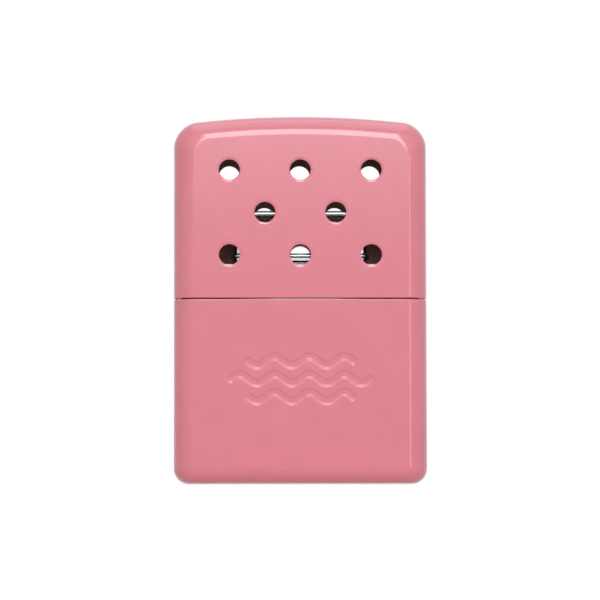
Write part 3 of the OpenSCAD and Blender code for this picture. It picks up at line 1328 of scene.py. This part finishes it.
@dataclass(frozen=True)
class Burner(Assembly):
    """The burner: a lipped band, a strap over it, a plate, gauzes, rivets and the catalyst.

    Attributes:
        skirt: Height of the band's skirt below the lip.
        lip_t: Thickness of the lip.
        hollow: Radius of the hollow where the lip meets the band.
        hem: Rounding of the band's cut edges.
        strap_r: Radius of the strap's shoulders.
        leg_w: Width of the strap's legs.
        spread_rise: Height above the band at which the legs start to widen.
        strap_hem: Rounding of the strap's cut edges.
        strap_crown: Height of the strap's top over its turned-down edges.
        strap_turn: Radius at which they turn down.
        strap_steps: Segments in each rounding of its section.
        rivet_r: Radius of a rivet's head.
        rivet_head: Height of the head.
        shank_r: Radius of its shank.
        rivet_tail: Thickness of its tail.
        rivet_sides: Points round a rivet.
    """

    body = Body.BURNER
    skirt: float = 0.8
    lip_t: float = 0.35
    hollow: float = 0.25
    hem: float = 0.15
    strap_r: float = 4.6
    leg_w: float = 3.2
    spread_rise: float = 0.3
    strap_hem: float = 0.08
    strap_crown: float = 0.3
    strap_turn: float = 0.3
    strap_steps: int = 5
    rivet_r: float = 0.7
    rivet_head: float = 0.3
    shank_r: float = 0.45
    rivet_tail: float = 0.2
    rivet_sides: int = 24

    def band(self) -> None:
        """Makes the band: an oblong ring with a skirt and a lip."""
        low, high = node_box("burner_base")
        lip_z = low.z + self.skirt
        lip_top = lip_z + self.lip_t
        nose = self.lip_t / 2 - FIT.joint / 2
        profile = rounded(
            [
                (0, low.z, self.hem),
                (0, lip_z, self.hem),
                (-FIT.lip_out, lip_z, nose),
                (-FIT.lip_out, lip_top, nose),
                (0, lip_top, self.hollow),
                (0, high.z, self.hem),
                (FIT.sheet, high.z, self.hem),
                (FIT.sheet, low.z, self.hem),
            ],
            closed=True,
            steps=6,
        )
        outline = FIT.band()
        skin = Skin()
        skin.bridge([outline.ring(by, z) for by, z in profile], wrap=True)
        self.settle(skin.done("burner_band", BAND_PLATE), Slot.PLATE, "burner_base")

    def strap_width(self, z: float) -> float:
        """Width of the strap at a height: narrow legs that spread above the band."""
        _, high = node_box("burner_strap")
        start = node_box("burner_base")[1].z + self.spread_rise
        end = high.z - self.strap_r / 2
        share = min(1.0, max(0.0, (z - start) / (end - start)))
        return self.leg_w + (2 * high.y - self.leg_w) * share

    def strap_section(self, z: float) -> list[tuple[float, float]]:
        """The strap's section at a height: a plain sheet below, with its edges turned down at its top.

        Args:
            z: The height.

        Returns:
            The section's points, across the strap and out from its middle.
        """
        start = self.leg_w / 2
        half_w = self.strap_width(z) / 2
        share = (half_w - start) / (node_box("burner_strap")[1].y - start)
        half_t = FIT.sheet / 2
        top = half_t + self.strap_crown * share
        turned = self.strap_hem + (self.strap_turn - self.strap_hem) * share
        inner = half_w - FIT.sheet
        outside = [(-half_w, -half_t, self.strap_hem), (-half_w, top, turned)]
        inside = [(-inner, top - FIT.sheet, self.strap_hem / 2), (-inner, -half_t - WELD, self.strap_hem / 2)]
        mirrored = [(-u, v, radius) for u, v, radius in reversed(outside)]
        hollow = [(-u, v, radius) for u, v, radius in reversed(inside)]
        return rounded(outside + mirrored + hollow + inside, closed=True, steps=self.strap_steps)

    def strap(self) -> None:
        """Makes the strap: a ribbon bent over the catalyst, its legs inside the band."""
        low, high = node_box("burner_strap")
        half_t = FIT.sheet / 2
        bend = self.strap_r - half_t
        arc_x, arc_z = high.x - self.strap_r, high.z - self.strap_r
        right = [(Vector((high.x - half_t, z)), Vector((1, 0))) for z in (low.z, (low.z + arc_z) / 2)]
        for angle in spread(0, 90, 24):
            out = Vector(turn(angle))
            right.append((Vector((arc_x, arc_z)) + bend * out, out))
        left = [(Vector((-point.x, point.y)), Vector((-out.x, out.y))) for point, out in reversed(right)]
        rings = [
            [Vector((point.x + out.x * v, u, point.y + out.y * v)) for u, v in self.strap_section(point.y)]
            for point, out in right + left
        ]
        flats = {i * (self.strap_steps + 1) - 1 for i in range(1, 9)}
        skin = Skin()
        skin.bridge(rings, flats=flats)
        skin.fill(rings[0])
        skin.fill(rings[-1])
        self.settle(skin.done("strap_ribbon", STRAP_PLATE), Slot.PLATE, "burner_strap")

    def rivets(self) -> None:
        """Makes the two rivets, each with a domed head, a shank and a flat tail."""
        low, high = node_box("burner_rivets")
        grip = high.x - self.rivet_head - FIT.band().half_w + 2 * FIT.sheet + FIT.joint
        head = [
            (self.rivet_r * turn(angle)[1], self.rivet_head * turn(angle)[0]) for angle in spread(0, 90, 8)
        ]
        body = [(self.shank_r, 0), (self.shank_r, -grip)]
        tail = rounded(
            [
                (self.rivet_r, -grip, 0),
                (self.rivet_r, -grip - self.rivet_tail, self.rivet_tail / 2),
                (0, -grip - self.rivet_tail, 0),
            ]
        )
        chain = wire_mesh([Vector((radius, 0, height)) for radius, height in head + body + tail])
        mesh = rivet_recipe().grow(
            chain,
            STEEL,
            Reach=high.x - self.rivet_head,
            Height=(low.z + high.z) / 2,
            Sides=self.rivet_sides,
        )
        self.settle(clothing("rivet_pair", mesh), Slot.STEEL, "burner_rivets")

    def build(self) -> None:
        """Makes the burner's own pieces, and dresses its plate."""
        self.band()
        self.strap()
        self.rivets()
        plate = frame["nodes"]["diffuser_plate"]
        plate.data.materials.clear()
        plate.data.materials.append(STEEL.material())


@lru_cache(maxsize=None)
def rivet_recipe() -> Recipe:
    """A rivet, turned from a profile, at each end of the burner and pointing outwards."""
    tree = Recipe("rivets")
    reach, height = tree.sizes("Reach", "Height")
    rivet = tree.lathe(tree.source, tree.size("Sides", "NodeSocketInt"))
    welded = tree.node("GeometryNodeMergeByDistance", {"Geometry": rivet, "Distance": WELD})
    right = tree.node(
        "GeometryNodeTransform",
        {"Geometry": welded, "Translation": tree.vector(reach, 0, height), "Rotation": (0, math.pi / 2, 0)},
    )
    left = tree.node("GeometryNodeTransform", {"Geometry": right, "Rotation": (0, 0, math.pi)})
    tree.finish(tree.join(right, left))
    return tree


@dataclass(frozen=True)
class Gauze(Assembly):
    """One of the two woven gauzes that hold the catalyst.

    Attributes:
        node: The frame's node that it stands for.
        pitch: Distance between neighbouring wires.
        wire_r: Radius of a wire.
        margin: Height left free under the strap.
        arch_r: Radius of its upper corners.
        arch_half: Half the width of the arch that it fills.
        sides: Points round a wire.
    """

    body = Body.BURNER
    node: str = "gauze_front"
    pitch: float = 0.6
    wire_r: float = 0.075
    margin: float = 0.05
    arch_r: float = 3.95
    arch_half: float = 12.26
    sides: int = 6

    def build(self) -> None:
        """Makes the gauze."""
        low, high = node_box(self.node)
        columns = 2 * int(high.x / self.pitch) + 1
        rows = int((high.z - low.z - 2 * self.wire_r) / self.pitch) + 1
        mesh = gauze_recipe().grow(
            wire_mesh([Vector((0, 0, 0))]),
            DARKENED_STEEL,
            Pitch=self.pitch,
            Wire=self.wire_r,
            Half_Width=high.x,
            Depth=(low.y + high.y) / 2,
            Foot=low.z + self.wire_r,
            Top=high.z - self.margin,
            Arch_Radius=self.arch_r,
            Arch_Half=self.arch_half,
            Columns=columns,
            Rows=rows,
            Sides=self.sides,
        )
        self.settle(clothing(self.node + "_weave", mesh), Slot.STEEL, self.node)


@lru_cache(maxsize=None)
def gauze_recipe() -> Recipe:
    """Two sets of wires that pass over and under each other, cut to the strap's arch."""
    tree = Recipe("gauze")
    names = ("Pitch", "Wire", "Half Width", "Depth", "Foot", "Top", "Arch Radius", "Arch Half")
    pitch, wire, half_width, depth, foot, top, arch_r, arch_half = tree.sizes(*names)
    columns, rows, sides = (tree.size(name, "NodeSocketInt") for name in ("Columns", "Rows", "Sides"))
    samples = 4

    def reach(past: Value) -> Value:
        """How far an arc of the arch still reaches, at a distance past its middle."""
        beyond = past.math("MAXIMUM", 0.0)
        return (arch_r * arch_r - beyond * beyond).math("MAXIMUM", 0.0).math("SQRT") - arch_r

    def wires(count: Value, length_steps: Value, place: Callable[[Value, Value], Value]) -> Value:
        """One set of wires: numbered lines, each bent by a formula of its number and its length."""
        grid = tree.node(
            "GeometryNodeMeshGrid",
            {"Size X": count - 1, "Size Y": 1.0, "Vertices X": count, "Vertices Y": length_steps},
        )
        ends = tree.node("GeometryNodeInputMeshEdgeVertices", output=2)
        first = tree.parts(ends)[0]
        second = tree.parts(Value(tree, ends.socket.node.outputs[3]))[0]
        crossing = (first - second).math("ABSOLUTE").math("GREATER_THAN", 0.5)
        lines = tree.node(
            "GeometryNodeDeleteGeometry", {"Geometry": grid, "Selection": crossing}, domain="EDGE", mode="EDGE_FACE"
        )
        number, along, _ = tree.parts(tree.node("GeometryNodeInputPosition"))
        bent = tree.node(
            "GeometryNodeSetPosition", {"Geometry": lines, "Position": place(number, along + 0.5)}
        )
        return tree.tube(tree.node("GeometryNodeMeshToCurve", {"Mesh": bent}), wire, sides, caps=True)

    def over(number: Value, distance: Value) -> Value:
        """How far a wire stands out where it passes over or under the others."""
        return wire * ((number + distance / pitch) * math.pi).math("COSINE")

    def upright(number: Value, along: Value) -> Value:
        """A point on an upright wire, which is numbered from the middle."""
        x = number * pitch
        height = top + reach(x.math("ABSOLUTE") - (arch_half - arch_r)) - foot
        rise = along * height
        return tree.vector(x, depth + over(number, rise), foot + rise)

    def cross(number: Value, along: Value) -> Value:
        """A point on a cross wire, which is numbered from the lowest."""
        row = number + (rows - 1) / 2
        rise = row * pitch
        widest = arch_half + reach(foot + rise - (top - arch_r))
        x = (along * 2 - 1) * half_width.math("MINIMUM", widest)
        return tree.vector(x, depth - over(row, x), foot + rise)

    standing = wires(columns, rows * samples + 1, upright)
    lying = wires(rows, columns * samples + 1, cross)
    tree.finish(tree.join(standing, lying))
    return tree


# ---- Soft pieces ----


@lru_cache(maxsize=None)
def fuzz_recipe() -> Recipe:
    """Short curled fibres over a mesh, which stays under them."""
    tree = Recipe("fuzz")
    length, width, density, lean = tree.sizes("Length", "Width", "Density", "Lean")
    seed = tree.size("Seed", "NodeSocketInt")
    points = tree.node(
        "GeometryNodeDistributePointsOnFaces", {"Mesh": tree.source, "Density": density, "Seed": seed}
    )
    spin_node = points.socket.node
    curl = tree.node(
        "GeometryNodeCurvePrimitiveBezierSegment",
        {
            "Resolution": 4,
            "Start": (0, 0, 0),
            "Start Handle": tree.vector(length * 0.1, 0, length * 0.45),
            "End Handle": tree.vector(length * 0.7, length * 0.25, length * 0.5),
            "End": tree.vector(length * 0.8, length * 0.35, length * 0.1),
        },
    )
    strand = tree.tube(curl, width, 3, caps=True)
    angle = tree.node("FunctionNodeRandomValue", {2: 0.0, 3: math.tau, "Seed": seed}, output=1)
    tilt = tree.node("FunctionNodeRandomValue", {2: lean * -1, 3: lean, "Seed": seed + 1}, output=1)
    spun = tree.node("FunctionNodeEulerToRotation", {0: tree.vector(tilt, 0, angle)})
    turned = tree.node(
        "FunctionNodeRotateRotation",
        {0: Value(tree, spin_node.outputs["Rotation"]), 1: spun},
        rotation_space="LOCAL",
    )
    scale = tree.node("FunctionNodeRandomValue", {2: 0.5, 3: 1.0, "Seed": seed + 2}, output=1)
    strands = tree.node(
        "GeometryNodeInstanceOnPoints",
        {"Points": points, "Instance": strand, "Rotation": turned, "Scale": scale},
    )
    tree.finish(tree.join(tree.source, strands))
    return tree


@dataclass(frozen=True)
class Soft(Assembly):
    """A soft piece in the space of its frame solid.

    Attributes:
        node: The frame's node that it stands for.
        name: The piece's name.
        finish: Its finish.
        slot: Its material slot.
        on: The body that it rides on.
        voxel: Spacing of its mesh.
        round_r: Radius to which its edges wear round.
        lump: Depth of its lumps.
        lump_size: Size of its lumps.
        hair: Length of its fibres.
        hair_r: Radius of a fibre.
        density: Fibres per square millimetre.
        fill: How tightly it is stuffed, or 0 where it isn't a pad; not used.
        lean: How far its fibres lean, in degrees.
    """

    node: str
    name: str
    finish: Finish
    slot: Slot
    voxel: float = 0.4
    round_r: float = 0.4
    lump: float = 0.2
    lump_size: float = 1.5
    hair: float = 0.5
    hair_r: float = 0.02
    density: float = 1.5
    fill: float = 0.8
    lean: float = 40
    on: Body = Body.TANK

    @property
    def body(self) -> Body:
        """The body that it rides on."""
        return self.on

    def block(self) -> bpy.types.Mesh:
        """A copy of the frame's solid, drawn in by its lumps and hair and meshed evenly."""
        mesh = frame["nodes"][self.node].data.copy()
        mesh.transform(Matrix.Scale(1 / MM, 4))
        low, high = node_box(self.node)
        middle, half = (low + high) / 2, (high - low) / 2
        draw_in = self.lump / 2 + self.hair * 0.3
        scale = Matrix.Diagonal([(part - draw_in) / part for part in half]).to_4x4()
        mesh.transform(Matrix.Translation(middle) @ scale @ Matrix.Translation(-middle))
        shape = bmesh.new()
        shape.from_mesh(mesh)
        bmesh.ops.remove_doubles(shape, verts=shape.verts, dist=WELD)
        shape.to_mesh(mesh)
        shape.free()
        carrier = linked(self.name, mesh)
        remesh = carrier.modifiers.new("even", "REMESH")
        remesh.mode = "VOXEL"
        remesh.voxel_size = self.voxel
        smooth = carrier.modifiers.new("worn", "SMOOTH")
        smooth.factor = 0.5
        smooth.iterations = max(1, round((self.round_r / self.voxel) ** 2 * 2))
        graph = bpy.context.evaluated_depsgraph_get()
        even = bpy.data.meshes.new_from_object(carrier.evaluated_get(graph), depsgraph=graph)
        bpy.data.objects.remove(carrier)
        bpy.data.meshes.remove(mesh)
        return even

    def roughen(self, mesh: bpy.types.Mesh) -> None:
        """Moves the points in and out along their normals, by a noise."""
        moved = []
        for vertex, normal in zip(mesh.vertices, mesh.vertex_normals):
            height = noise.fractal(vertex.co / self.lump_size, 0.9, 2.0, 3)
            moved.append(vertex.co + normal.vector * self.lump / 2 * max(-1.0, min(1.0, height)))
        for vertex, point in zip(mesh.vertices, moved):
            vertex.co = point

    def build(self) -> None:
        """Makes the piece."""
        mesh = self.block()
        self.roughen(mesh)
        grown = fuzz_recipe().grow(
            mesh,
            self.finish,
            Length=self.hair,
            Width=self.hair_r,
            Density=self.density,
            Lean=math.radians(self.lean),
            Seed=len(self.node),
        )
        piece = clothing(self.name, grown)
        self.settle(piece, self.slot, self.node)


# ---- Studio ----


@dataclass(frozen=True)
class Softbox:
    """A rectangular lamp, given by the angles in degrees at which the object sees it.

    Attributes:
        name: The lamp's name.
        azimuth: Its middle, to the right of straight in front.
        low: Its lower edge, above the horizon.
        high: Its upper edge.
        width: Its width.
        radiance: Its brightness, where white paper is about 1.
        fade_low: Height over which it fades at its lower edge.
        fade_high: Height over which it fades at its upper edge.
        fade_side: Width over which it fades at each side.
        distance: Its distance from the object, in metres.
    """

    name: str
    azimuth: float
    low: float
    high: float
    width: float
    radiance: float
    fade_low: float = 1
    fade_high: float = 1
    fade_side: float = 1
    distance: float = 1.2

    def fade(self, data: bpy.types.Light) -> None:
        """Dims the lamp towards its edges."""
        data.use_nodes = True
        graph = Graph(data.node_tree)
        across, up, _ = graph.parts(graph.node("ShaderNodeNewGeometry", output=5))
        height = self.high - self.low
        side = self.fade_side / self.width
        strength = (
            graph.span(up, 0, self.fade_low / height, 0, 1)
            * graph.span(up, 1 - self.fade_high / height, 1, 1, 0)
            * graph.span(across, 0, side, 0, 1)
            * graph.span(across, 1 - side, 1, 1, 0)
        )
        graph.feed(data.node_tree.nodes["Emission"].inputs["Strength"], strength * strength)

    def build(self, target: Vector) -> None:
        """Makes the lamp, facing a target."""
        data = bpy.data.lights.new(self.name, "AREA")
        data.shape = "RECTANGLE"
        data.size = 2 * self.distance * math.tan(math.radians(self.width / 2))
        data.size_y = 2 * self.distance * math.tan(math.radians((self.high - self.low) / 2))
        data.energy = math.pi * self.radiance * data.size * data.size_y
        self.fade(data)
        lamp = linked(self.name, data)
        c, s = turn((self.low + self.high) / 2)
        ca, sa = turn(self.azimuth)
        away = Vector((c * sa, -c * ca, s))
        lamp.location = target + away * self.distance
        lamp.rotation_euler = away.to_track_quat("Z", "Y").to_euler()


@dataclass(frozen=True)
class Studio:
    """The floor, the light and the camera.

    Attributes:
        eye: The camera's place, in millimetres.
        aim: The point that it looks at.
        focal: Its focal length.
        sensor: Width of its sensor.
        shift: Its shift across and up.
        roll: Its turn about the line of sight, in degrees.
        ambient: Brightness of the surroundings for diffuse light.
        floor_half: Half the floor's width, in metres.
        floor_colour: The floor's colour.
        boxes: The lamps.
    """

    eye: tuple[float, ...] = (-14.3, -826.5, -33)
    aim: tuple[float, ...] = (0, 0, 37)
    focal: float = 245.8
    sensor: float = 36
    shift: tuple[float, float] = (0, 0.0029)
    roll: float = -0.1
    ambient: float = 0.21
    floor_half: float = 1.5
    floor_colour: tuple[float, ...] = (0.8, 0.8, 0.8)
    boxes: tuple[Softbox, ...] = (
        Softbox("key_softbox", 3, 4.6, 44, 30, radiance=7.0, fade_low=8.5, fade_high=5, fade_side=8),
        Softbox("wide_softbox", 5, 12, 52, 100, radiance=0.5, fade_low=6, fade_high=6, fade_side=20),
        Softbox("overhead_softbox", 0, 58, 118, 60, radiance=1.0, fade_low=8, fade_high=8, fade_side=8),
        Softbox("side_card", 20.5, -1.5, 11, 12, radiance=3.2, fade_low=1, fade_high=3, fade_side=4),
    )

    def camera(self) -> None:
        """Makes the camera."""
        data = bpy.data.cameras.new("view")
        data.lens = self.focal
        data.sensor_width = self.sensor
        data.shift_x, data.shift_y = self.shift
        data.clip_start = 0.01
        camera = linked("view", data)
        eye = Vector(self.eye) * MM
        camera.location = eye
        facing = (Vector(self.aim) * MM - eye).to_track_quat("-Z", "Y").to_matrix()
        camera.rotation_euler = (facing @ Matrix.Rotation(math.radians(self.roll), 3, "Z")).to_euler()
        bpy.context.scene.camera = camera

    def surroundings(self) -> None:
        """Lights the scene evenly, and shows white to the camera, to metal and to glass."""
        world = bpy.data.worlds.new("surroundings")
        world.use_nodes = True
        world.node_tree.nodes.clear()
        graph = Graph(world.node_tree)
        path = graph.node("ShaderNodeLightPath").socket.node
        seen = [Value(graph, path.outputs[f"Is {kind} Ray"]) for kind in ("Camera", "Glossy", "Transmission")]
        direct = seen[0].math("MAXIMUM", seen[1]).math("MAXIMUM", seen[2])
        strength = direct * (1 - self.ambient) + self.ambient
        light = graph.node("ShaderNodeBackground", {"Color": (1, 1, 1, 1), "Strength": strength})
        graph.node("ShaderNodeOutputWorld", {"Surface": light})
        bpy.context.scene.world = world

    def floor(self) -> None:
        """Makes the floor, which hides what is under it only from above, and is cut out under the base."""
        half = self.floor_half / MM
        skin = Skin()
        rest = Tank().rest()
        corners = ((-half, -half), (half, -half), (half, half), (-half, half))
        skin.fill([Vector((x, y, 0)) for x, y in corners], [rest])
        for face in skin.mesh.faces:
            if face.normal.z < 0:
                face.normal_flip()
        mesh = bpy.data.meshes.new("floor")
        skin.mesh.to_mesh(mesh)
        skin.mesh.free()
        mesh.transform(Matrix.Scale(MM, 4))
        material = bpy.data.materials.new("studio_floor")
        shader = Shader(material)
        grain = shader.grain(3, 3)
        tone = shader.blend(grain, tinted(self.floor_colour, 0.98), tinted(self.floor_colour, 1.02))
        shader.set(Base_Color=tone, Roughness=0.9)
        path = shader.node("ShaderNodeLightPath").socket.node
        seen, mirrored = (Value(shader, path.outputs[f"Is {kind} Ray"]) for kind in ("Camera", "Glossy"))
        below = Value(shader, shader.node("ShaderNodeNewGeometry").socket.node.outputs["Backfacing"])
        clear = shader.node("ShaderNodeBsdfTransparent")
        white = shader.node("ShaderNodeEmission", {"Color": (1, 1, 1, 1), "Strength": 1.0})
        solid = Value(shader, shader.surface.outputs[0])
        shown = shader.node("ShaderNodeMixShader", {0: mirrored, 1: solid, 2: white})
        mixed = shader.node("ShaderNodeMixShader", {0: seen * below, 1: shown, 2: clear})
        shader.feed(shader.tree.nodes["Material Output"].inputs[0], mixed)
        mesh.materials.append(material)
        linked("floor", mesh)

    def build(self) -> None:
        """Sets up the whole studio."""
        self.camera()
        self.surroundings()
        self.floor()
        for box in self.boxes:
            box.build(Vector(self.aim) * MM)
        bpy.context.scene.view_settings.view_transform = "Standard"


def main() -> None:
    """Builds the studio and the hand warmer."""
    logging.basicConfig(level=logging.INFO, format="%(message)s")
    Studio().build()
    Lid().build()
    Tank().build()
    Collar().build()
    Burner().build()
    Gauze(node="gauze_front").build()
    Gauze(node="gauze_rear").build()
    Soft("catalyst_mat", "catalyst_block", CATALYST, Slot.FIBRE, on=Body.BURNER, fill=0, voxel=0.3).build()
    Soft("wick_pad", "wick_felt_pad", FELT, Slot.FELT, round_r=0.3, lump=0.1, hair=0.3, fill=1.0).build()
    for number in (1, 2, 3):
        Soft(f"cotton_wad_{number}", f"cotton_wadding_{number}", COTTON, Slot.COTTON, voxel=0.6).build()


if __name__ == "__main__":
    main()
